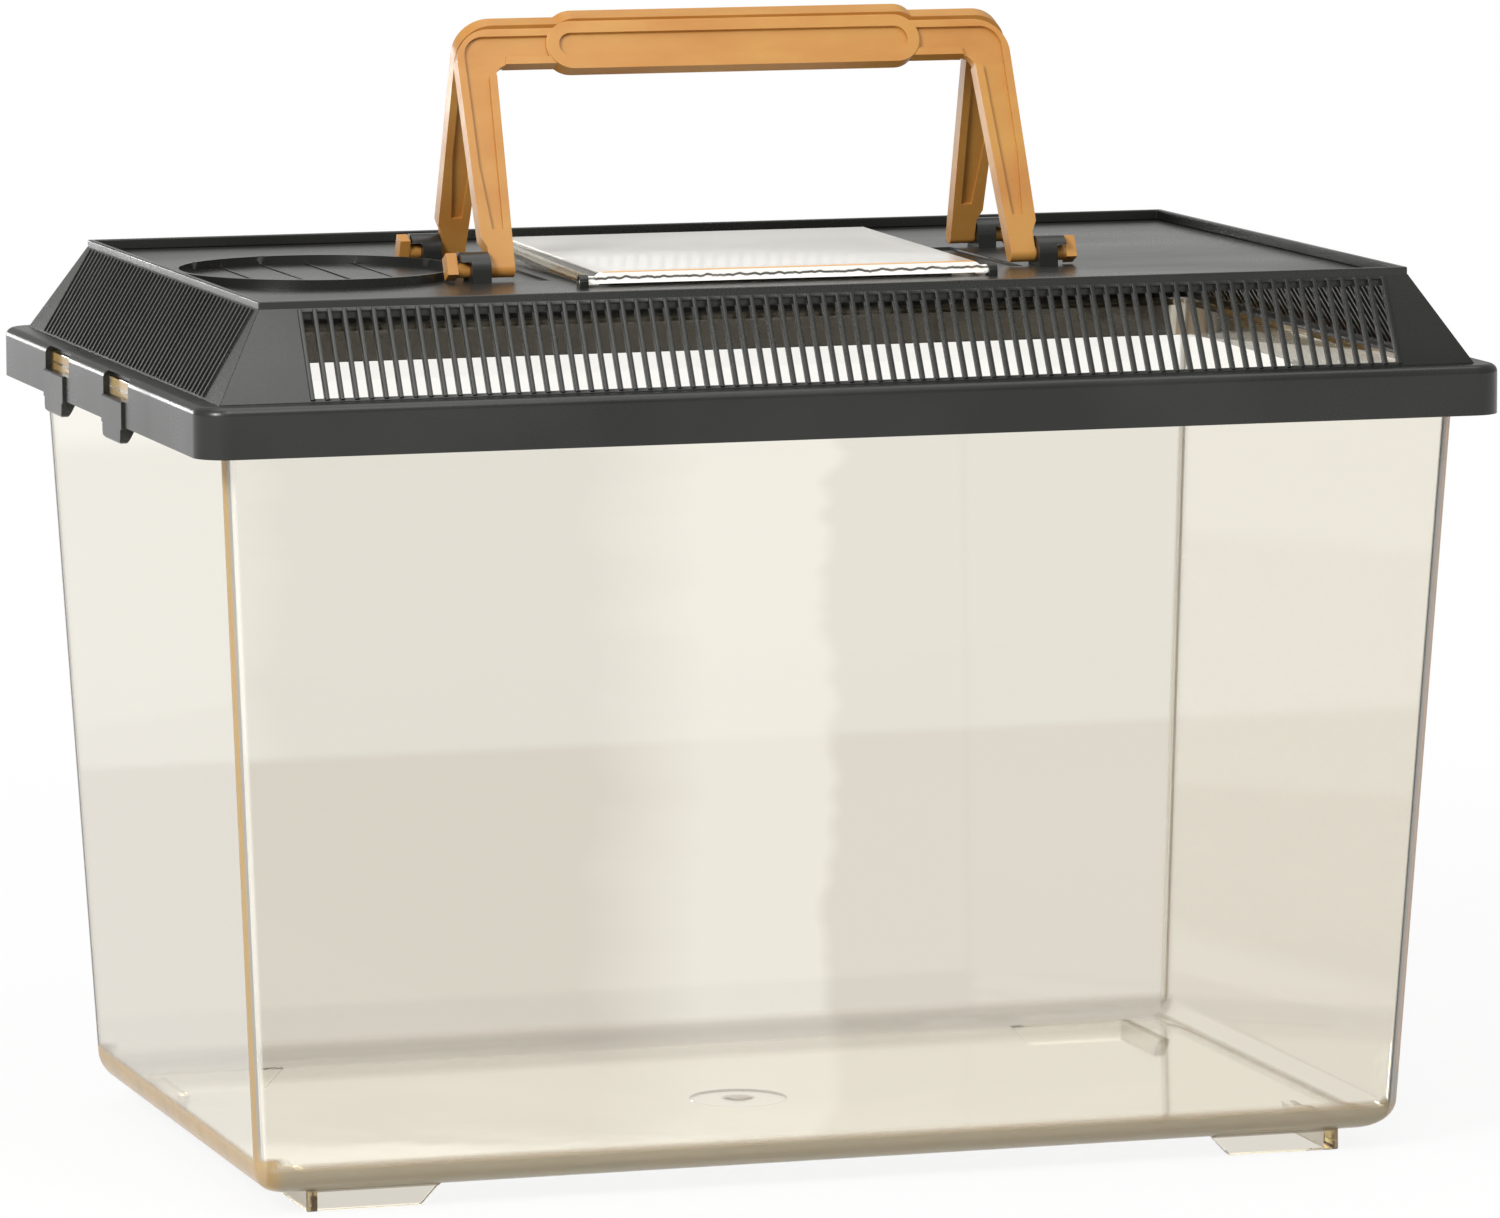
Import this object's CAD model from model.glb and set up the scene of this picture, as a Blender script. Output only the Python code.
"""Looks, light and camera of a plastic pet keeper with a vented lid."""

import logging
import math
from dataclasses import dataclass
from enum import Enum
from typing import Any, Callable, Sequence, Union

import bpy
from mathutils import Matrix, Vector


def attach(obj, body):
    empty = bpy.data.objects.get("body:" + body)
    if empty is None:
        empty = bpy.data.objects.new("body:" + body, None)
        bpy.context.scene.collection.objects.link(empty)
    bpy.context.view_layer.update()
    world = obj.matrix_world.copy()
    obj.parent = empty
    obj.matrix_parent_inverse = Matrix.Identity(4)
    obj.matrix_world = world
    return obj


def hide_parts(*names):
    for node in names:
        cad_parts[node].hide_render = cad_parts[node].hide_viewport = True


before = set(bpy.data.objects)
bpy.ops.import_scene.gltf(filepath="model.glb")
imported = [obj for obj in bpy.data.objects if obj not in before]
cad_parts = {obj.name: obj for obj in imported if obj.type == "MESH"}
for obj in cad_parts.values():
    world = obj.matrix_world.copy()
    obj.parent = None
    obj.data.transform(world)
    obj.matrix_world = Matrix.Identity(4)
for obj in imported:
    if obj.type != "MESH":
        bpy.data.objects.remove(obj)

LOG = logging.getLogger("keeper")
Colour = tuple[float, float, float]
Point = tuple[float, float, float]
Span = tuple[float, float]

BLACK: Colour = (0.0, 0.0, 0.0)
WHITE: Colour = (1.0, 1.0, 1.0)
# Noise hardly leaves this span, so it is stretched from here
NOISE: Span = (0.3, 0.7)
# Corners closer than this are one corner, in metres
MERGE = 2e-6
# Places closer than this are level with each other, in metres
LEVEL = 1e-5
# An edge that rises less than this lies flat, in metres
FLAT = 1e-6


# ---------------------------------------------------------------- shader tools


class Value:
    """A float output of a node, with the arithmetic a shader needs."""

    def __init__(self, shader: "Shader", socket: bpy.types.NodeSocket) -> None:
        """Wrap one socket.

        Args:
            shader: The tree that the socket belongs to.
            socket: The output socket.
        """
        self.shader = shader
        self.socket = socket

    def _math(self, operation: str, first: Any, second: Any = 0.0) -> "Value":
        """Add one Math node.

        Args:
            operation: The node's operation.
            first: Left operand.
            second: Right operand.

        Returns:
            The node's result.
        """
        return self.shader.node("ShaderNodeMath", {"operation": operation}, {0: first, 1: second})

    def __add__(self, other: Any) -> "Value":
        """Add."""
        return self._math("ADD", self, other)

    __radd__ = __add__

    def __mul__(self, other: Any) -> "Value":
        """Multiply."""
        return self._math("MULTIPLY", self, other)

    __rmul__ = __mul__

    def __sub__(self, other: Any) -> "Value":
        """Subtract."""
        return self._math("SUBTRACT", self, other)

    def __rsub__(self, other: Any) -> "Value":
        """Subtract from a number."""
        return self._math("SUBTRACT", other, self)

    def __truediv__(self, other: Any) -> "Value":
        """Divide."""
        return self._math("DIVIDE", self, other)

    def larger(self, other: Any) -> "Value":
        """Return the larger of two values."""
        return self._math("MAXIMUM", self, other)

    def size(self) -> "Value":
        """Return the value without its sign."""
        return self._math("ABSOLUTE", self)


class Shader:
    """A material's or world's node tree, built from nothing."""

    def __init__(self, owner: Union[bpy.types.Material, bpy.types.World]) -> None:
        """Empty the tree of its owner.

        Args:
            owner: The material or world.
        """
        owner.use_nodes = True
        self.tree = owner.node_tree
        self.tree.nodes.clear()
        is_world = isinstance(owner, bpy.types.World)
        self.output = "ShaderNodeOutputWorld" if is_world else "ShaderNodeOutputMaterial"

    def node(
        self,
        kind: str,
        settings: dict[str, Any] | None = None,
        inputs: dict[Any, Any] | None = None,
        out: Any = 0,
    ) -> Value:
        """Add one node.

        Args:
            kind: The node's type.
            settings: Properties, set before the sockets; "ramp" holds a colour ramp's stops.
            inputs: Values or links by socket name or index.
            out: The output to return, by name or index.

        Returns:
            The chosen output, or an empty value where the node has none.
        """
        made = self.tree.nodes.new(kind)
        for name, value in (settings or {}).items():
            if name == "ramp":
                self._set_ramp(made.color_ramp, value)
            else:
                setattr(made, name, value)
        for name, value in (inputs or {}).items():
            socket = made.inputs[name]
            if isinstance(value, Value):
                self.tree.links.new(value.socket, socket)
            elif isinstance(value, tuple) and socket.type == "RGBA" and len(value) == 3:
                socket.default_value = (*value, 1.0)
            else:
                socket.default_value = value
        return Value(self, made.outputs[out] if len(made.outputs) else None)

    @staticmethod
    def _set_ramp(ramp: bpy.types.ColorRamp, stops: Sequence[tuple[float, Colour]]) -> None:
        """Fill a colour ramp.

        Args:
            ramp: The ramp.
            stops: Position and colour of each stop.
        """
        while len(ramp.elements) > 1:
            ramp.elements.remove(ramp.elements[-1])
        ramp.elements[0].position = stops[0][0]
        ramp.elements[0].color = (*stops[0][1], 1.0)
        for place, colour in stops[1:]:
            ramp.elements.new(place).color = (*colour, 1.0)

    def place(self, scale: Point = (1.0, 1.0, 1.0)) -> Value:
        """Return object coordinates, stretched.

        Args:
            scale: Stretch along each axis.

        Returns:
            The coordinates.
        """
        coords = self.node("ShaderNodeTexCoord", out="Object")
        return self.node("ShaderNodeMapping", {}, {"Vector": coords, "Scale": scale})

    def axes(self) -> tuple[Value, Value, Value]:
        """Return the object coordinates x, y and z."""
        coords = self.node("ShaderNodeTexCoord", out="Object")
        split = self.node("ShaderNodeSeparateXYZ", {}, {0: coords})
        x, y, z = (Value(self, out) for out in split.socket.node.outputs)
        return x, y, z

    def noise(
        self,
        scale: float,
        detail: float = 3.0,
        rough: float = 0.5,
        stretch: Point = (1.0, 1.0, 1.0),
    ) -> Value:
        """Return noise from 0 to 1 over the surface.

        Args:
            scale: Features per metre, about.
            detail: Octaves.
            rough: Strength of the fine octaves.
            stretch: Stretch of the coordinates.

        Returns:
            The noise.
        """
        inputs = {
            "Vector": self.place(stretch),
            "Scale": scale,
            "Detail": detail,
            "Roughness": rough,
        }
        return self.node("ShaderNodeTexNoise", {}, inputs)

    def spread(self, value: Value, span: Span, low: float, high: float) -> Value:
        """Map a span of a value to another, held at both ends.

        Args:
            value: The value.
            span: Start and end of the span.
            low: Result at the start.
            high: Result at the end.

        Returns:
            The mapped value.
        """
        inputs = {
            "Value": value,
            "From Min": span[0],
            "From Max": span[1],
            "To Min": low,
            "To Max": high,
        }
        return self.node("ShaderNodeMapRange", {"clamp": True}, inputs)

    def above(self, value: Value, span: Span) -> Value:
        """Return 0 under a span and 1 over it."""
        return self.spread(value, span, 0.0, 1.0)

    def below(self, value: Value, span: Span) -> Value:
        """Return 1 under a span and 0 over it."""
        return self.spread(value, span, 1.0, 0.0)

    def blend(self, factor: Value, first: Any, second: Any) -> Value:
        """Mix two colours.

        Args:
            factor: 0 for the first, 1 for the second.
            first: First colour.
            second: Second colour.

        Returns:
            The mixed colour.
        """
        # A Mix node keeps its colours in these sockets, behind those for numbers and vectors
        inputs = {0: factor, 6: first, 7: second}
        return self.node("ShaderNodeMix", {"data_type": "RGBA"}, inputs, out=2)

    def bump(self, height: Value, strength: float, distance: float) -> Value:
        """Return a normal bent by a height.

        Args:
            height: The height, 0 to 1.
            strength: Strength of the effect.
            distance: Real height of 1, in metres.

        Returns:
            The normal.
        """
        inputs = {"Height": height, "Strength": strength, "Distance": distance}
        return self.node("ShaderNodeBump", {}, inputs)

    def ray(self, kind: str) -> Value:
        """Return 1 for one kind of ray, such as "Is Camera Ray", and 0 for the others."""
        return self.node("ShaderNodeLightPath", out=kind)

    def plastic(self, inputs: dict[str, Any]) -> Value:
        """Return a Principled surface with these inputs."""
        return self.node("ShaderNodeBsdfPrincipled", {}, inputs)

    def layer(self, factor: Value, under: Value, over: Value) -> Value:
        """Return one surface laid over another, as thick as the factor says."""
        return self.node("ShaderNodeMixShader", {}, {0: factor, 1: under, 2: over})

    def finish(self, surface: Value, volume: Value | None = None) -> None:
        """Join a surface, and a volume if there is one, to the output.

        Args:
            surface: The surface shader.
            volume: The volume shader.
        """
        inputs = {"Surface": surface}
        if volume is not None:
            inputs["Volume"] = volume
        self.node(self.output, {}, inputs)


# ---------------------------------------------------------------- finishes


@dataclass(frozen=True)
class BlackPlastic:
    """Black polypropylene with a fine spark-eroded grain and a satin gloss."""

    name: str
    colour: Colour = (0.0125, 0.0130, 0.0115)
    worn: Colour = (0.021, 0.0215, 0.019)
    roughness: float = 0.30
    cloud_scale: float = 22.0
    cloud: Span = (0.35, 0.7)
    flow_scale: float = 9.0
    flow: Span = (-0.05, 0.06)
    grain: float = 0.12
    grain_scale: float = 2600.0
    grain_height: float = 0.00012
    grain_rough: float = 0.03

    def make(self) -> bpy.types.Material:
        """Build the material.

        Returns:
            The material.
        """
        material = bpy.data.materials.new(self.name)
        shader = Shader(material)
        cloud = shader.noise(self.cloud_scale, 4.0)
        fine = shader.noise(self.grain_scale, 2.0, 0.6)
        flow = shader.noise(self.flow_scale, 3.0, 0.5, (1.0, 3.0, 1.0))
        smooth, dull = (self.roughness + change for change in self.flow)
        rough = shader.spread(flow, NOISE, smooth, dull)
        rough = rough + shader.spread(fine, NOISE, -self.grain_rough, self.grain_rough)
        surface = shader.plastic({
            "Base Color": shader.blend(shader.above(cloud, self.cloud), self.colour, self.worn),
            "Roughness": rough,
            "Normal": shader.bump(fine, self.grain, self.grain_height),
            "IOR": 1.49,
        })
        shader.finish(surface)
        return material


@dataclass(frozen=True)
class TanPlastic:
    """Tan moulded plastic with faint flow marks."""

    name: str
    colour: Colour = (0.52, 0.265, 0.062)
    deep: Colour = (0.46, 0.195, 0.038)
    roughness: float = 0.34
    cloud_scale: float = 35.0
    cloud: Span = (0.3, 0.72)
    flow: Span = (-0.04, 0.07)
    grain: float = 0.08
    grain_scale: float = 2200.0
    grain_height: float = 0.0001

    def make(self) -> bpy.types.Material:
        """Build the material.

        Returns:
            The material.
        """
        material = bpy.data.materials.new(self.name)
        shader = Shader(material)
        cloud = shader.noise(self.cloud_scale, 4.0, 0.55, (1.0, 2.0, 2.0))
        fine = shader.noise(self.grain_scale, 2.0, 0.6)
        smooth, dull = (self.roughness + change for change in self.flow)
        surface = shader.plastic({
            "Base Color": shader.blend(shader.above(cloud, self.cloud), self.colour, self.deep),
            "Roughness": shader.spread(cloud, NOISE, smooth, dull),
            "Normal": shader.bump(fine, self.grain, self.grain_height),
            "IOR": 1.5,
            "Subsurface Weight": 0.15,
            "Subsurface Radius": (0.004, 0.002, 0.0008),
            "Subsurface Scale": 0.5,
        })
        shader.finish(surface)
        return material


@dataclass(frozen=True)
class ClearPlastic:
    """Clear polystyrene with a cream tint that turns amber where light runs along it."""

    name: str
    tint: Colour = (0.95, 0.7625, 0.225)
    density: float = 32.0
    ior: float = 1.5
    roughness: float = 0.012
    haze_scale: float = 14.0
    haze: Span = (0.45, 0.8)
    haze_rough: float = 0.04
    swell_scale: float = 30.0
    swell: float = 0.02
    swell_height: float = 0.0008

    def _glass(self, shader: Shader) -> Value:
        """Build the clear body with a faint haze and swell.

        Args:
            shader: The material's tree.

        Returns:
            The surface shader.
        """
        haze = shader.noise(self.haze_scale, 5.0, 0.6)
        swell = shader.noise(self.swell_scale, 2.0, 0.4)
        dull = self.roughness + self.haze_rough
        return shader.plastic({
            "Base Color": WHITE,
            "Roughness": shader.spread(haze, self.haze, self.roughness, dull),
            "Normal": shader.bump(swell, self.swell, self.swell_height),
            "IOR": self.ior,
            "Transmission Weight": 1.0,
        })

    def _edges(self, shader: Shader, glass: Value) -> Value:
        """Lay the glow of the edges over the clear body; here there is none.

        Args:
            shader: The material's tree.
            glass: The clear body.

        Returns:
            The surface shader.
        """
        return glass

    def make(self) -> bpy.types.Material:
        """Build the material.

        Returns:
            The material.
        """
        material = bpy.data.materials.new(self.name)
        shader = Shader(material)
        surface = self._edges(shader, self._glass(shader))
        inputs = {"Color": self.tint, "Density": self.density}
        shader.finish(surface, shader.node("ShaderNodeVolumeAbsorption", {}, inputs))
        return material


@dataclass(frozen=True)
class TankPlastic(ClearPlastic):
    """The tank's plastic: its corners, bottom fillet and rim gather light and glow amber.

    A mask goes from 0 to 1 over each span. Spans named across lie outside the wall's
    outer face, and spans named up lie over the underside of the floor, in metres.
    """

    amber: Colour = (0.46, 0.29, 0.09)
    beige: Colour = (0.38, 0.32, 0.21)
    milk: Colour = (0.86, 0.84, 0.78)
    half_x: Span = (0.16465, 0.17580)
    half_y: Span = (0.09515, 0.10840)
    heights: Span = (0.0056, 0.2217)
    middle: Span = (-0.01, 0.01)
    corner_across_x: Span = (-0.0011, -0.0008)
    corner_across_y: Span = (-0.0034, -0.0029)
    turn_across: Span = (-0.0034, -0.0026)
    end_across: Span = (-0.0085, -0.0045)
    end_up: Span = (0.0008, 0.0022)
    left_end_rise: float = 0.0090
    long_across: Span = (-0.0095, -0.0075)
    long_up: Span = (0.0065, 0.0092)
    feet_up: Span = (-0.0004, -0.0002)
    foot_end: Span = (0.1480, 0.1484)
    stub_round: Span = (0.0040, 0.0052)
    stub_up: Span = (0.0013, 0.0015)
    rim_across: Span = (0.0056, 0.0062)
    rim_along: Span = (0.080, 0.085)
    rim_heights: Span = (0.2101, 0.2219)
    rim_bands: tuple[tuple[float, float], ...] = (
        (0.0, 0.2), (0.45, 0.1), (0.52, 0.9), (0.66, 1.0),
        (0.70, 0.1), (0.76, 0.9), (0.90, 1.0), (0.94, 0.1),
    )
    streak_scale: float = 60.0
    glow: float = 0.12
    milk_glow: float = 0.3

    def _over(self, shader: Shader, along: Value, z: Value, halves: Span) -> Value:
        """Return how far a point is outside the sloping wall, in metres.

        Args:
            shader: The material's tree.
            along: The coordinate across the wall.
            z: The height.
            halves: Half width at the bottom and at the top.

        Returns:
            The distance, negative inside.
        """
        slope = (halves[1] - halves[0]) / (self.heights[1] - self.heights[0])
        return along.size() - (z * slope + (halves[0] - slope * self.heights[0]))

    def _bodies(self, shader: Shader, long: Value, ends: Value, rim: Value) -> tuple[Value, Value]:
        """Make the two plastics that lie over the clear body.

        Args:
            shader: The material's tree.
            long: Where the two long bottom edges are.
            ends: Where the two bottom edges at the ends are.
            rim: Where the rim shows in the lid's windows.

        Returns:
            The amber plastic of the edges and the milky one of the corners' turn.
        """
        amber = shader.plastic({
            "Base Color": shader.blend(long * (1.0 - ends), self.amber, self.beige),
            "Roughness": 0.3,
            "IOR": self.ior,
            "Subsurface Weight": 0.3,
            "Subsurface Scale": 0.003,
            "Emission Color": shader.blend(ends.larger(rim), BLACK, self.amber),
            "Emission Strength": self.glow,
        })
        milky = shader.plastic({
            "Base Color": self.milk,
            "Roughness": 0.35,
            "IOR": self.ior,
            "Emission Color": self.milk,
            "Emission Strength": self.milk_glow,
        })
        return amber, milky

    def _edges(self, shader: Shader, glass: Value) -> Value:
        """Lay amber corners, fillets and rim over the clear body.

        Args:
            shader: The material's tree.
            glass: The clear body.

        Returns:
            The surface shader.
        """
        x, y, z = shader.axes()
        over_x = self._over(shader, x, z, self.half_x)
        over_y = self._over(shader, y, z, self.half_y)
        up = z - self.heights[0]
        left = shader.below(x, self.middle)
        near = shader.below(y, self.middle)

        corner = shader.above(over_x, self.corner_across_x)
        corner = corner * shader.above(over_y, self.corner_across_y)
        turn = shader.above(over_x, self.turn_across) * shader.above(over_y, self.turn_across)
        end = shader.below(up - left * self.left_end_rise, self.end_up)
        end = end * shader.above(over_x, self.end_across)
        long = shader.below(up, self.long_up) * shader.above(over_y, self.long_across)
        feet = shader.below(up, self.feet_up)
        foot_ends = feet * shader.above(x.size(), self.foot_end)
        round_span = (self.stub_round[0] ** 2, self.stub_round[1] ** 2)
        stub = shader.below(x * x + y * y, round_span) * shader.below(up, self.stub_up)
        rim = shader.above(over_x, self.rim_across) * shader.below(y.size(), self.rim_along)

        ramp = [(place, (tone, tone, tone)) for place, tone in self.rim_bands]
        rim_up = shader.above(z, self.rim_heights)
        bands = shader.node("ShaderNodeValToRGB", {"ramp": ramp}, {"Fac": rim_up})
        streaks = shader.noise(self.streak_scale, 3.0, 0.5, (1.0, 1.0, 0.05))
        streaks = shader.spread(streaks, NOISE, 0.75, 1.0)

        tub = 1.0 - feet
        ends = end * tub * 0.8
        glow = (corner * tub * 0.85).larger(ends).larger(rim * bands * 0.9)
        glow = glow.larger(foot_ends * 0.6).larger(stub * 0.6) * streaks
        front = long * tub * (near * 0.55 + 0.2)
        amber, milky = self._bodies(shader, long, ends, rim)
        lit = shader.layer(turn * tub * (0.75 - near * 0.45), glass, milky)
        return shader.layer(glow.larger(front), lit, amber)


@dataclass(frozen=True)
class HatchPlastic(ClearPlastic):
    """The hatch's plastic: its top is hazy, its front edge is lit white with an amber line.

    A mask goes from 0 to 1 over each span, in metres. Spans named at are heights.
    """

    milk: Colour = (0.90, 0.89, 0.85)
    amber: Colour = (0.62, 0.33, 0.10)
    shade: Colour = (0.07, 0.065, 0.06)
    front: float = -0.0555
    front_depth: float = 0.0008
    middle: float = -0.0020
    half: float = 0.0599
    end_inside: Span = (-0.0030, -0.0022)
    end_depth: float = 0.0025
    line_at: tuple[Span, Span] = ((0.2503, 0.2505), (0.2508, 0.2510))
    crease_at: tuple[Span, Span] = ((0.2484, 0.2487), (0.2491, 0.2494))
    ripple: float = 0.0004
    ripple_scale: float = 260.0
    top: float = 0.2506
    top_under: Span = (-0.0006, -0.0002)
    tilt: float = 0.0140
    haze_share: float = 0.55
    face_share: float = 0.85
    glow: float = 0.5

    def _between(self, shader: Shader, height: Value, edges: tuple[Span, Span]) -> Value:
        """Return 1 between two heights.

        Args:
            shader: The material's tree.
            height: The height.
            edges: The spans at the lower and the upper edge.

        Returns:
            The mask.
        """
        return shader.above(height, edges[0]) * shader.below(height, edges[1])

    def _edges(self, shader: Shader, glass: Value) -> Value:
        """Lay the lit front edge over the clear body.

        Args:
            shader: The material's tree.
            glass: The clear body.

        Returns:
            The surface shader.
        """
        x, y, z = shader.axes()
        inside = tuple(self.half + reach for reach in self.end_inside)
        end = shader.above((x - self.middle).size(), inside)
        depth = (self.front - self.front_depth, self.front)
        face = shader.below(y - end * self.end_depth, depth)
        line = self._between(shader, z, self.line_at)
        ripple = shader.noise(self.ripple_scale, 2.0, 0.5, (1.0, 1.0, 0.2))
        ripple = z + shader.spread(ripple, NOISE, -self.ripple, self.ripple)
        crease = self._between(shader, ripple, self.crease_at)
        colour = shader.blend(line * face, self.milk, self.amber)
        colour = shader.blend(crease * face, colour, self.shade)
        body = shader.plastic({
            "Base Color": colour,
            "Roughness": 0.3,
            "IOR": self.ior,
            "Emission Color": shader.blend(face, BLACK, colour),
            "Emission Strength": self.glow,
        })
        under = tuple(self.top + reach for reach in self.top_under)
        level = z - (y - self.front) * self.tilt
        haze = shader.spread(level, under, 0.0, self.haze_share)
        return shader.layer((face * self.face_share).larger(haze), glass, body)


class Finish(Enum):
    """The finishes of the keeper."""

    LID = "lid"
    GRILLE = "grille"
    TAN = "tan"
    TANK = "tank"
    HATCH = "hatch"


class Palette:
    """Makes each finish once."""

    def __init__(self) -> None:
        """Build the materials."""
        self.made: dict[Finish, bpy.types.Material] = {
            Finish.LID: BlackPlastic("black_satin").make(),
            Finish.GRILLE: BlackPlastic("black_grille", roughness=0.28, grain=0.06).make(),
            Finish.TAN: TanPlastic("tan_plastic").make(),
            Finish.TANK: TankPlastic("clear_amber").make(),
            Finish.HATCH: HatchPlastic("clear_hatch").make(),
        }

    def __getitem__(self, finish: Finish) -> bpy.types.Material:
        """Return one material."""
        return self.made[finish]


# ---------------------------------------------------------------- bench


class Pick(Enum):
    """What an edit acts on."""

    CORNERS = "VERT"
    EDGES = "EDGE"
    FACES = "FACE"


class Join(Enum):
    """How two solids are put together."""

    ADD = "UNION"
    CUT = "DIFFERENCE"


def clear_bench() -> None:
    """Leave edit mode and deselect everything."""
    if bpy.context.mode != "OBJECT":
        bpy.ops.object.mode_set(mode="OBJECT")
    bpy.ops.object.select_all(action="DESELECT")


def is_flat(run: Vector) -> bool:
    """Return whether an edge lies flat."""
    return abs(run.z) < FLAT


class Workpiece:
    """One mesh on the bench, shaped with Blender's own tools."""

    def __init__(self, item: bpy.types.Object, name: str) -> None:
        """Take an object onto the bench.

        Args:
            item: The object.
            name: Its name.
        """
        self.item = item
        item.name = name
        item.data.name = name

    @classmethod
    def block(cls, name: str, low: Point, high: Point) -> "Workpiece":
        """Start from a block between two corners.

        Args:
            name: The piece's name.
            low: Lowest corner.
            high: Highest corner.

        Returns:
            The workpiece.
        """
        middle = tuple((a + b) / 2 for a, b in zip(low, high))
        size = tuple(b - a for a, b in zip(low, high))
        clear_bench()
        bpy.ops.mesh.primitive_cube_add(size=1.0, location=middle, scale=size)
        bpy.ops.object.transform_apply(location=True, rotation=True, scale=True)
        return cls(bpy.context.object, name)

    @classmethod
    def disc(cls, name: str, middle: float, radii: Span, height: float) -> "Workpiece":
        """Start from an upright round plug on the z axis, straight or tapered.

        Args:
            name: The piece's name.
            middle: Height of its middle.
            radii: Radius at the bottom and at the top.
            height: Its height.

        Returns:
            The workpiece.
        """
        clear_bench()
        place = (0.0, 0.0, middle)
        bpy.ops.mesh.primitive_cone_add(
            vertices=64, radius1=radii[0], radius2=radii[1], depth=height, location=place
        )
        bpy.ops.object.transform_apply(location=True, rotation=True, scale=True)
        return cls(bpy.context.object, name)

    @classmethod
    def copy_of(cls, name: str, node: str) -> "Workpiece":
        """Start from a merged copy of one node of the frame.

        Args:
            name: The piece's name.
            node: The node.

        Returns:
            The workpiece.
        """
        item = bpy.data.objects.new(name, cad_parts[node].data.copy())
        bpy.context.scene.collection.objects.link(item)
        made = cls(item, name)
        item.data.materials.clear()
        made.open_up()
        bpy.ops.mesh.select_all(action="SELECT")
        bpy.ops.mesh.remove_doubles(threshold=MERGE)
        bpy.ops.mesh.tris_convert_to_quads(
            face_threshold=math.radians(0.4), shape_threshold=math.pi
        )
        made.close()
        return made

    def open_up(self) -> None:
        """Make the piece the only one chosen and enter edit mode."""
        clear_bench()
        bpy.context.view_layer.objects.active = self.item
        self.item.select_set(True)
        bpy.ops.object.mode_set(mode="EDIT")

    def close(self) -> None:
        """Leave edit mode."""
        bpy.ops.object.mode_set(mode="OBJECT")

    def pick(self, kind: Pick, test: Callable[[Vector, Vector], bool]) -> None:
        """Select corners, edges or faces by place, and stay in edit mode.

        Args:
            kind: What is selected.
            test: Told the middle and the direction (a normal, or an edge's run) of each.
        """
        self.open_up()
        bpy.ops.mesh.select_mode(type=kind.value)
        bpy.ops.mesh.select_all(action="DESELECT")
        self.close()
        mesh = self.item.data
        if kind is Pick.CORNERS:
            for corner in mesh.vertices:
                corner.select = bool(test(corner.co, corner.normal))
        elif kind is Pick.EDGES:
            for edge in mesh.edges:
                first, second = (mesh.vertices[i].co for i in edge.vertices)
                edge.select = bool(test((first + second) / 2, second - first))
        else:
            for face in mesh.polygons:
                face.select = bool(test(face.center, face.normal))
        bpy.ops.object.mode_set(mode="EDIT")

    def stretch(self, x: float, y: float) -> None:
        """Scale what is selected about the z axis.

        Args:
            x: Factor along x.
            y: Factor along y.
        """
        bpy.ops.transform.resize(value=(x, y, 1.0), center_override=(0.0, 0.0, 0.0))

    def shift(self, x: float, y: float, z: float) -> None:
        """Move what is selected.

        Args:
            x: Along x.
            y: Along y.
            z: Along z.
        """
        bpy.ops.transform.translate(value=(x, y, z))

    def round_picked(self, offset: float, segments: int) -> None:
        """Bevel the selected edges.

        Args:
            offset: Set-back of the bevel on each face.
            segments: Its steps.
        """
        bpy.ops.mesh.bevel(
            offset=offset, segments=segments, affect="EDGES", profile=0.5, clamp_overlap=False
        )

    def modify(self, kind: str, **settings: Any) -> None:
        """Add a modifier and apply it.

        Args:
            kind: The modifier's type.
            **settings: Its properties.
        """
        clear_bench()
        self.item.select_set(True)
        bpy.context.view_layer.objects.active = self.item
        bpy.ops.object.modifier_add(type=kind)
        made = self.item.modifiers[-1]
        for name, value in settings.items():
            setattr(made, name, value)
        bpy.ops.object.modifier_apply(modifier=made.name)

    def combine(self, other: "Workpiece", how: Join) -> None:
        """Add or cut away another solid, which is used up.

        Args:
            other: The other solid.
            how: Whether it is added or cut away.
        """
        self.modify("BOOLEAN", operation=how.value, solver="EXACT", object=other.item)
        bpy.data.objects.remove(other.item)

    def soften(self, width: float, segments: int) -> None:
        """Round off every edge sharper than 30 degrees by a small radius.

        Args:
            width: Width of the rounding.
            segments: Its steps.
        """
        self.modify(
            "BEVEL",
            width=width,
            segments=segments,
            limit_method="ANGLE",
            angle_limit=math.radians(30.0),
            use_clamp_overlap=True,
            harden_normals=False,
            miter_outer="MITER_ARC",
        )

    def smooth(self, angle: float = 35.0) -> None:
        """Shade smoothly up to an angle, with flat faces kept flat.

        Args:
            angle: The largest smooth angle, in degrees.
        """
        clear_bench()
        self.item.select_set(True)
        bpy.context.view_layer.objects.active = self.item
        bpy.ops.object.shade_smooth_by_angle(angle=math.radians(angle))
        self.modify("WEIGHTED_NORMAL", weight=80, keep_sharp=True)

    def tidy(self) -> None:
        """Merge stray corners and turn every face outwards."""
        self.open_up()
        bpy.ops.mesh.select_all(action="SELECT")
        bpy.ops.mesh.remove_doubles(threshold=MERGE)
        bpy.ops.mesh.normals_make_consistent(inside=False)
        self.close()

    def hand_over(self, material: bpy.types.Material, body: str, slot: str, *nodes: str) -> None:
        """Dress the piece, hang it on its body and let it stand for its nodes.

        Args:
            material: Its finish.
            body: The body it moves with.
            slot: The record's material slot.
            *nodes: The nodes it stands for.
        """
        clear_bench()
        self.item.data.materials.clear()
        self.item.data.materials.append(material)
        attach(self.item, body)
        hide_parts(*nodes)
        LOG.info("%s: %d faces on %s", self.item.name, len(self.item.data.polygons), body)


# ---------------------------------------------------------------- sub-assemblies


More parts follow.
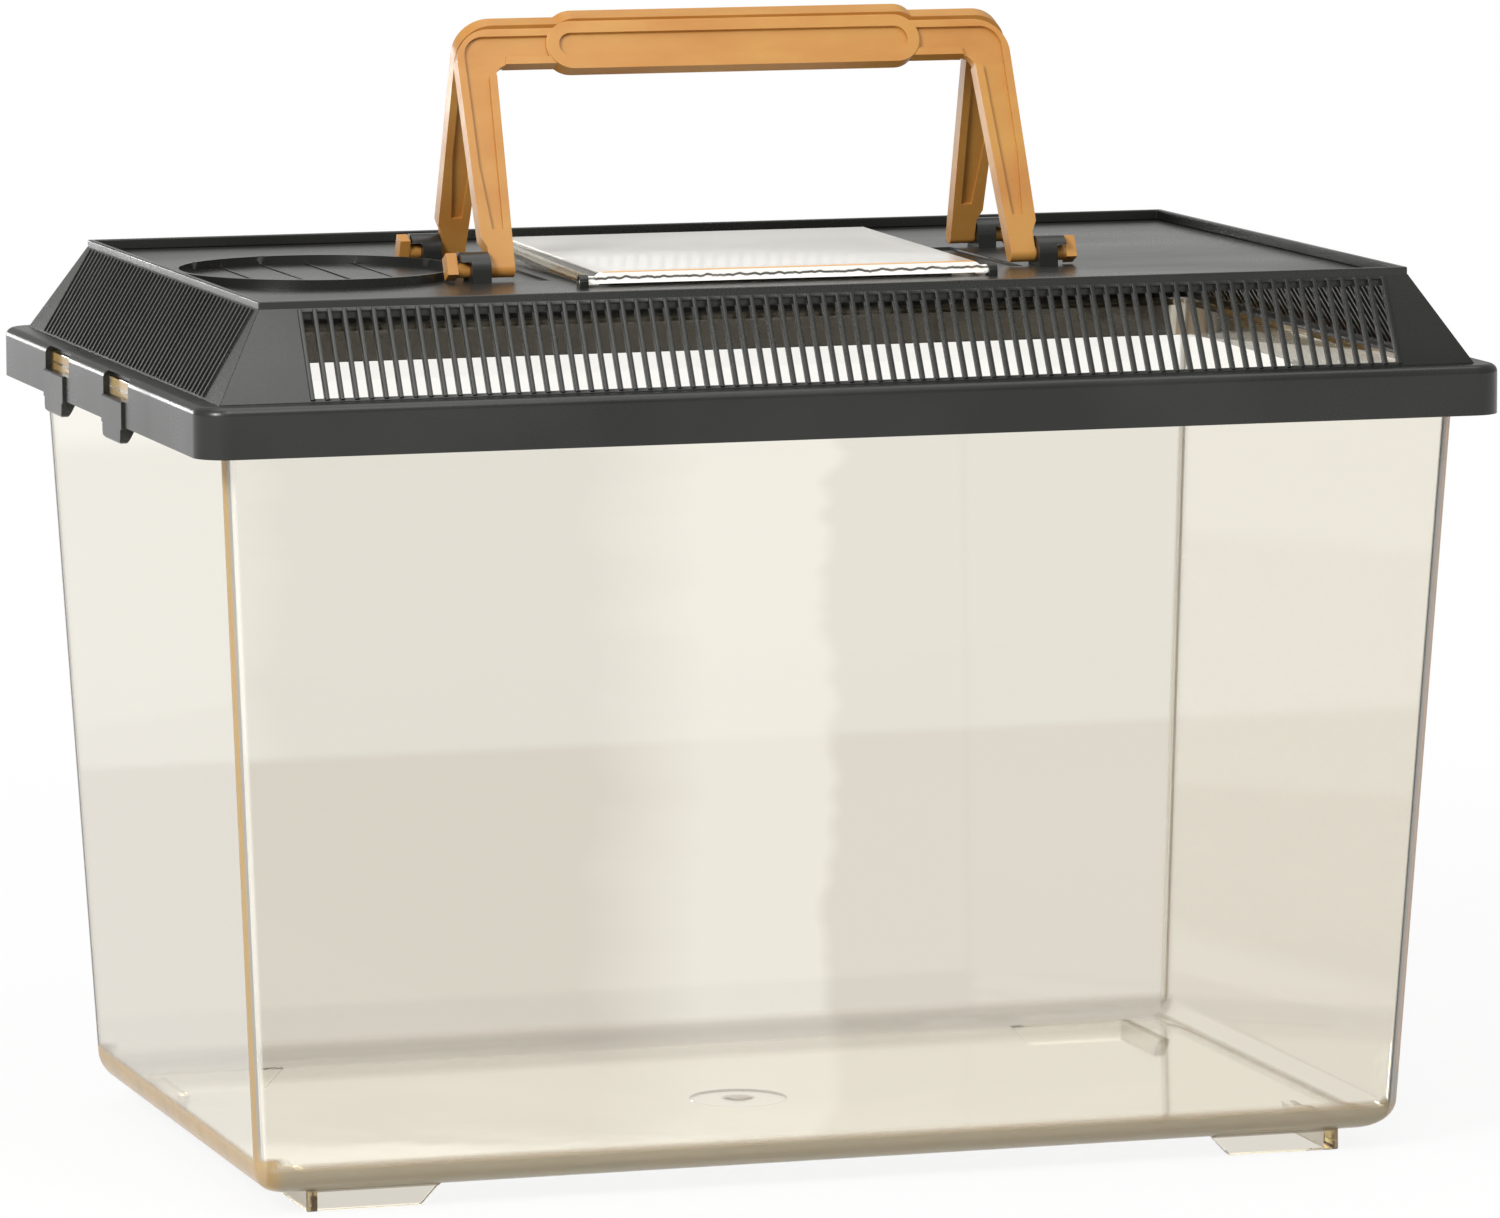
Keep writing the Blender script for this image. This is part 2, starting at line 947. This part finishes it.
@dataclass
class Tank:
    """The clear tank: tapered walls, rolled rim, four feet and the gate mark, moulded in one."""

    top_w: float = 0.3516
    top_d: float = 0.2168
    bottom_w: float = 0.3293
    bottom_d: float = 0.1903
    foot_h: float = 0.0056
    top_z: float = 0.2217
    wall: float = 0.0025
    fillet: float = 0.00855
    corner: float = 0.003
    rim_w: float = 0.3652
    rim_d: float = 0.2394
    rim_low: float = 0.2101
    rim_r: float = 0.0066
    rim_wall: float = 0.0018
    rim_edge: float = 0.0008
    past: float = 0.01
    foot_x: float = 0.14945
    foot_y: float = 0.08875
    foot_len: float = 0.0380
    foot_wall: float = 0.0036
    foot_sink: float = 0.0004
    foot_edge: float = 0.0003
    dimple_r: float = 0.014
    dimple_h: float = 0.0020
    dimple_up: float = -0.0002
    stub_r: Span = (0.0022, 0.0052)
    stub_h: float = 0.0012
    stub_up: float = 0.0007
    nodes: tuple[str, ...] = (
        "tank", "tank_rim",
        "foot_front_left", "foot_front_right", "foot_rear_left", "foot_rear_right",
    )

    def _tapered(self, name: str, inset: float, low: float, high: float) -> Workpiece:
        """Make a block that follows the walls' slope.

        Args:
            name: The piece's name.
            inset: Distance inside the outer walls.
            low: Its lowest height.
            high: Its highest height.

        Returns:
            The block.
        """
        tall = self.top_z - self.foot_h

        def half(z: float) -> tuple[float, float]:
            """Return the block's half width and half depth at a height."""
            up = (z - self.foot_h) / tall
            x = (self.bottom_w + (self.top_w - self.bottom_w) * up) / 2 - inset
            y = (self.bottom_d + (self.top_d - self.bottom_d) * up) / 2 - inset
            return x, y

        low_x, low_y = half(low)
        high_x, high_y = half(high)
        made = Workpiece.block(name, (-low_x, -low_y, low), (low_x, low_y, high))
        made.pick(Pick.CORNERS, lambda at, _: at.z > high - LEVEL)
        made.stretch(high_x / low_x, high_y / low_y)
        made.close()
        return made

    def _tub(self) -> Workpiece:
        """Make the thin walls and floor, rounded along the bottom and the corners.

        Returns:
            The tub.
        """
        tub = self._tapered("clear_tank", 0.0, self.foot_h, self.top_z)
        tub.pick(Pick.FACES, lambda _, facing: facing.z > 0.9)
        bpy.ops.mesh.delete(type="FACE")
        tub.pick(Pick.EDGES, lambda at, run: at.z < self.foot_h + LEVEL and is_flat(run))
        tub.round_picked(self.fillet, 10)
        tub.pick(Pick.EDGES, lambda _, run: not is_flat(run))
        tub.round_picked(self.corner, 5)
        tub.modify(
            "SOLIDIFY", thickness=self.wall, offset=-1.0, use_even_offset=True, use_rim=True
        )
        tub.tidy()
        return tub

    def _rim(self) -> Workpiece:
        """Make the rolled rim round the mouth.

        Returns:
            The rim.
        """
        x, y, wall = self.rim_w / 2, self.rim_d / 2, self.rim_wall
        under = self.rim_low - self.past
        rim = Workpiece.block("rim", (-x, -y, self.rim_low), (x, y, self.top_z))
        rim.pick(Pick.EDGES, lambda _, run: not is_flat(run))
        rim.round_picked(self.rim_r, 6)
        rim.pick(Pick.EDGES, lambda at, run: at.z > self.top_z - LEVEL and is_flat(run))
        rim.round_picked(self.rim_edge, 3)
        x, y = x - wall, y - wall
        hollow = Workpiece.block("hollow", (-x, -y, under), (x, y, self.top_z - wall))
        hollow.pick(Pick.EDGES, lambda _, run: not is_flat(run))
        hollow.round_picked(self.rim_r - wall, 6)
        rim.combine(hollow, Join.CUT)
        mouth = self._tapered("mouth", self.wall / 2, under, self.top_z + self.past)
        rim.combine(mouth, Join.CUT)
        return rim

    def _leg(self, sx: int, sy: int, along_x: bool) -> Workpiece:
        """Make one leg of an L-shaped foot, cut back at its inner end.

        Args:
            sx: -1 on the left, 1 on the right.
            sy: -1 in front, 1 at the rear.
            along_x: Whether the leg runs along x.

        Returns:
            The leg.
        """
        reach = (self.foot_len, self.foot_wall) if along_x else (self.foot_wall, self.foot_len)
        near = (sx * (self.foot_x - reach[0]), sy * (self.foot_y - reach[1]))
        far = (sx * self.foot_x, sy * self.foot_y)
        low = (min(near[0], far[0]), min(near[1], far[1]), 0.0)
        high = (max(near[0], far[0]), max(near[1], far[1]), self.foot_h + self.foot_sink)
        leg = Workpiece.block("leg", low, high)
        axis = 0 if along_x else 1
        leg.pick(Pick.CORNERS, lambda at, _: at.z < LEVEL and abs(at[axis] - near[axis]) < LEVEL)
        step = [0.0, 0.0, 0.0]
        step[axis] = (sx, sy)[axis] * self.foot_h
        leg.shift(*step)
        leg.close()
        leg.soften(self.foot_edge, 1)
        return leg

    def _gate(self) -> Workpiece:
        """Make the cutter of the gate mark, a shallow dimple that leaves a stub in its middle.

        Returns:
            The cutter.
        """
        dimple_z, stub_z = self.foot_h + self.dimple_up, self.foot_h + self.stub_up
        radii = (self.dimple_r, self.dimple_r)
        gate = Workpiece.disc("dimple", dimple_z, radii, self.dimple_h)
        gate.combine(Workpiece.disc("stub", stub_z, self.stub_r, self.stub_h), Join.CUT)
        return gate

    def build(self, palette: Palette) -> None:
        """Model the tank in one piece.

        Args:
            palette: The finishes.
        """
        tub = self._tub()
        tub.combine(self._rim(), Join.ADD)
        for sx in (-1, 1):
            for sy in (-1, 1):
                foot = self._leg(sx, sy, True)
                foot.combine(self._leg(sx, sy, False), Join.ADD)
                tub.combine(foot, Join.ADD)
        tub.combine(self._gate(), Join.CUT)
        tub.tidy()
        tub.smooth(20.0)
        tub.hand_over(palette[Finish.TANK], "tank", "clear_plastic", *self.nodes)


@dataclass(frozen=True)
class Softening:
    """How the edges of one moulded piece are rounded."""

    node: str
    width: float
    segments: int = 2


@dataclass
class Moulding:
    """Pieces of one finish and body, taken from the frame, with edges as a mould leaves them."""

    body: str
    finish: Finish
    slot: str
    pieces: tuple[Softening, ...]

    def build(self, palette: Palette) -> None:
        """Round and dress each piece.

        Args:
            palette: The finishes.
        """
        for piece in self.pieces:
            made = Workpiece.copy_of(piece.node + "_moulded", piece.node)
            made.soften(piece.width, piece.segments)
            made.tidy()
            made.smooth()
            made.hand_over(palette[self.finish], self.body, self.slot, piece.node)


def lid_pieces() -> tuple[Moulding, ...]:
    """Return the mouldings of the lid.

    Returns:
        The black pieces and the black grilles.
    """
    corners = ("front_left", "front_right", "rear_left", "rear_right")
    clips = ("left_rear", "left_front", "right_front", "right_rear")
    plain = (
        Softening("lid_skirt", 0.0005, 3),
        Softening("lid_top", 0.0003),
        Softening("lid_lip", 0.0004, 3),
        Softening("hatch_coaming", 0.0002),
        Softening("collar", 0.0004, 3),
        Softening("hatch_socket_left", 0.0002),
        Softening("hatch_socket_right", 0.0002),
    )
    plain += tuple(Softening("clip_" + at, 0.0004) for at in clips)
    plain += tuple(Softening("ear_" + at, 0.0004, 3) for at in corners)
    grilles = tuple(Softening(at + "_grille", 0.0003) for at in ("front", "rear", "left", "right"))
    return (
        Moulding("lid", Finish.LID, "black_plastic", plain),
        Moulding("lid", Finish.GRILLE, "black_plastic", grilles),
    )


def moving_pieces() -> tuple[Moulding, ...]:
    """Return the mouldings that turn on the lid.

    Returns:
        The two handles and the hatch.
    """
    handles = tuple(
        Moulding(name, Finish.TAN, "tan_plastic", (Softening(name, 0.0006, 3),))
        for name in ("front_handle", "rear_handle")
    )
    hatch = Moulding("hatch", Finish.HATCH, "hatch_plastic", (Softening("hatch", 0.0005, 3),))
    return (*handles, hatch)


# ---------------------------------------------------------------- studio


@dataclass(frozen=True)
class Lamp:
    """One square area lamp."""

    name: str
    place: Point
    target: Point
    size: float
    power: float

    def build(self) -> None:
        """Hang the lamp and aim it."""
        data = bpy.data.lights.new(self.name, "AREA")
        data.shape = "SQUARE"
        data.size = self.size
        data.energy = self.power
        item = bpy.data.objects.new(self.name, data)
        item.location = self.place
        aim = Vector(self.target) - Vector(self.place)
        item.rotation_euler = aim.to_track_quat("-Z", "Y").to_euler()
        bpy.context.scene.collection.objects.link(item)


@dataclass(frozen=True)
class Room:
    """What the clear plastic shows through it: a beige table, a paler wall and light patches.

    Distances run along y in metres, and bearings are x over y as seen from the eye.
    """

    table: Colour = (0.681, 0.656, 0.618)
    wall: Colour = (0.765, 0.757, 0.733)
    wall_from: Span = (0.735, 0.755)
    pale: Colour = (0.92, 0.91, 0.88)
    left_until: Span = (0.247, 0.252)
    left_share: float = 0.35
    window: Colour = (1.0, 0.99, 0.97)
    window_from: Span = (0.288, 0.302)
    window_until: Span = (0.317, 0.319)
    window_share: float = 0.58
    right_share: float = 0.18
    waver: float = 0.003
    waver_scale: float = 3.0
    white_from: Span = (1.75, 1.85)

    def tone(self, shader: Shader, x: Value, y: Value, eye: Point) -> Value:
        """Return the room's colour over the floor.

        Args:
            shader: The floor's tree.
            x: The coordinate to the right.
            y: The coordinate away from the front.
            eye: The camera's place.

        Returns:
            The colour.
        """
        wall = shader.above(y, self.wall_from)
        waver = shader.noise(self.waver_scale, 3.0, 0.6)
        waver = shader.spread(waver, NOISE, -self.waver, self.waver)
        bearing = (x - eye[0]) / (y - eye[1]) + waver
        left = shader.below(bearing, self.left_until)
        window = shader.above(bearing, self.window_from)
        window = window * shader.below(bearing, self.window_until)
        right = shader.above(bearing, self.window_until)
        tone = shader.blend(wall, self.table, self.wall)
        tone = shader.blend(left * wall * self.left_share, tone, self.pale)
        tone = shader.blend(right * self.right_share, tone, self.pale)
        tone = shader.blend(window * self.window_share, tone, self.window)
        return shader.blend(shader.above(y, self.white_from), tone, WHITE)


@dataclass(frozen=True)
class Studio:
    """Floor, world light, lamps and camera."""

    width: int = 1500
    focal_px: float = 9015.11
    sensor: float = 36.0
    yaw: float = 17.1385
    pitch: float = 7.3207
    roll: float = -0.1357
    eye: Point = (-0.74289, -2.42253, 0.47370)
    lamps: tuple[Lamp, ...] = (
        Lamp("key_left", (-1.15, -0.95, 1.0), (-0.10, 0.0, 0.15), 0.5, 21.0),
        Lamp("front_high", (-0.05, -0.95, 1.45), (-0.05, 0.0, 0.22), 0.7, 6.5),
        Lamp("top_soft", (0.1, 0.1, 1.7), (0.0, 0.0, 0.2), 1.4, 9.0),
        Lamp("back_panel", (0.85, 2.9, 1.05), (0.0, 0.0, 0.25), 0.9, 1.2),
        Lamp("back_left", (-0.53, 1.3, 0.28), (-0.2, 0.0, 0.24), 0.2, 1.6),
    )
    world: Colour = (0.42, 0.42, 0.41)
    world_through: Colour = (0.84, 0.825, 0.79)
    floor_size: float = 14.0
    floor_z: float = -0.0002
    floor_colour: Colour = (0.86, 0.86, 0.86)
    near_share: float = 0.88
    away: Span = (0.12, 0.7)

    def camera(self) -> None:
        """Add the camera at the eye."""
        yaw, pitch, roll = (math.radians(angle) for angle in (self.yaw, self.pitch, self.roll))
        flat = math.cos(pitch)
        ahead = Vector((math.sin(yaw) * flat, math.cos(yaw) * flat, -math.sin(pitch)))
        right = Vector((math.cos(yaw), -math.sin(yaw), 0.0))
        down = ahead.cross(right)
        side = right * math.cos(roll) - down * math.sin(roll)
        fall = right * math.sin(roll) + down * math.cos(roll)
        data = bpy.data.cameras.new("camera")
        data.sensor_width = self.sensor
        data.sensor_fit = "HORIZONTAL"
        data.lens = self.focal_px / self.width * self.sensor
        data.clip_end = 50.0
        item = bpy.data.objects.new("camera", data)
        axes = Matrix((side, -fall, -ahead)).transposed().to_4x4()
        item.matrix_world = Matrix.Translation(Vector(self.eye)) @ axes
        bpy.context.scene.collection.objects.link(item)
        bpy.context.scene.camera = item

    def light(self) -> None:
        """Add the lamps and the world, which is white to the camera."""
        for lamp in self.lamps:
            lamp.build()
        world = bpy.data.worlds.new("studio")
        bpy.context.scene.world = world
        shader = Shader(world)
        colour = shader.blend(shader.ray("Is Camera Ray"), self.world, WHITE)
        colour = shader.blend(shader.ray("Is Transmission Ray"), colour, self.world_through)
        inputs = {"Color": colour, "Strength": 1.0}
        shader.finish(shader.node("ShaderNodeBackground", {}, inputs))

    def floor(self) -> None:
        """Add the floor, white to the camera, which shows the room through the plastic."""
        place = (0.0, 0.0, self.floor_z)
        bpy.ops.mesh.primitive_plane_add(size=self.floor_size, location=place)
        plane = bpy.context.object
        plane.name = "floor"
        material = bpy.data.materials.new("pale_floor")
        shader = Shader(material)
        x, y, _ = shader.axes()
        matte = shader.node("ShaderNodeBsdfDiffuse", {}, {"Color": self.floor_colour})
        white = shader.node("ShaderNodeEmission", {}, {"Color": WHITE, "Strength": 1.0})
        direct = shader.ray("Is Camera Ray").larger(shader.ray("Is Glossy Ray"))
        away = shader.spread(x * x + y * y, self.away, self.near_share, 1.0)
        surface = shader.layer(direct * away, matte, white)
        tone = Room().tone(shader, x, y, self.eye)
        room = shader.node("ShaderNodeEmission", {}, {"Color": tone, "Strength": 1.0})
        shader.finish(shader.layer(shader.ray("Is Transmission Ray"), surface, room))
        plane.data.materials.append(material)

    def build(self) -> None:
        """Set up the whole studio."""
        self.floor()
        self.light()
        self.camera()
        bpy.context.scene.view_settings.view_transform = "Standard"


def main() -> None:
    """Build the keeper, its light and its camera."""
    logging.basicConfig(level=logging.INFO, format="%(name)s: %(message)s")
    bpy.ops.object.select_all(action="DESELECT")
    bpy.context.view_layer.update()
    palette = Palette()
    for piece in (Tank(), *lid_pieces(), *moving_pieces()):
        piece.build(palette)
        LOG.info("built %s", type(piece).__name__)
    Studio().build()


if __name__ == "__main__":
    main()
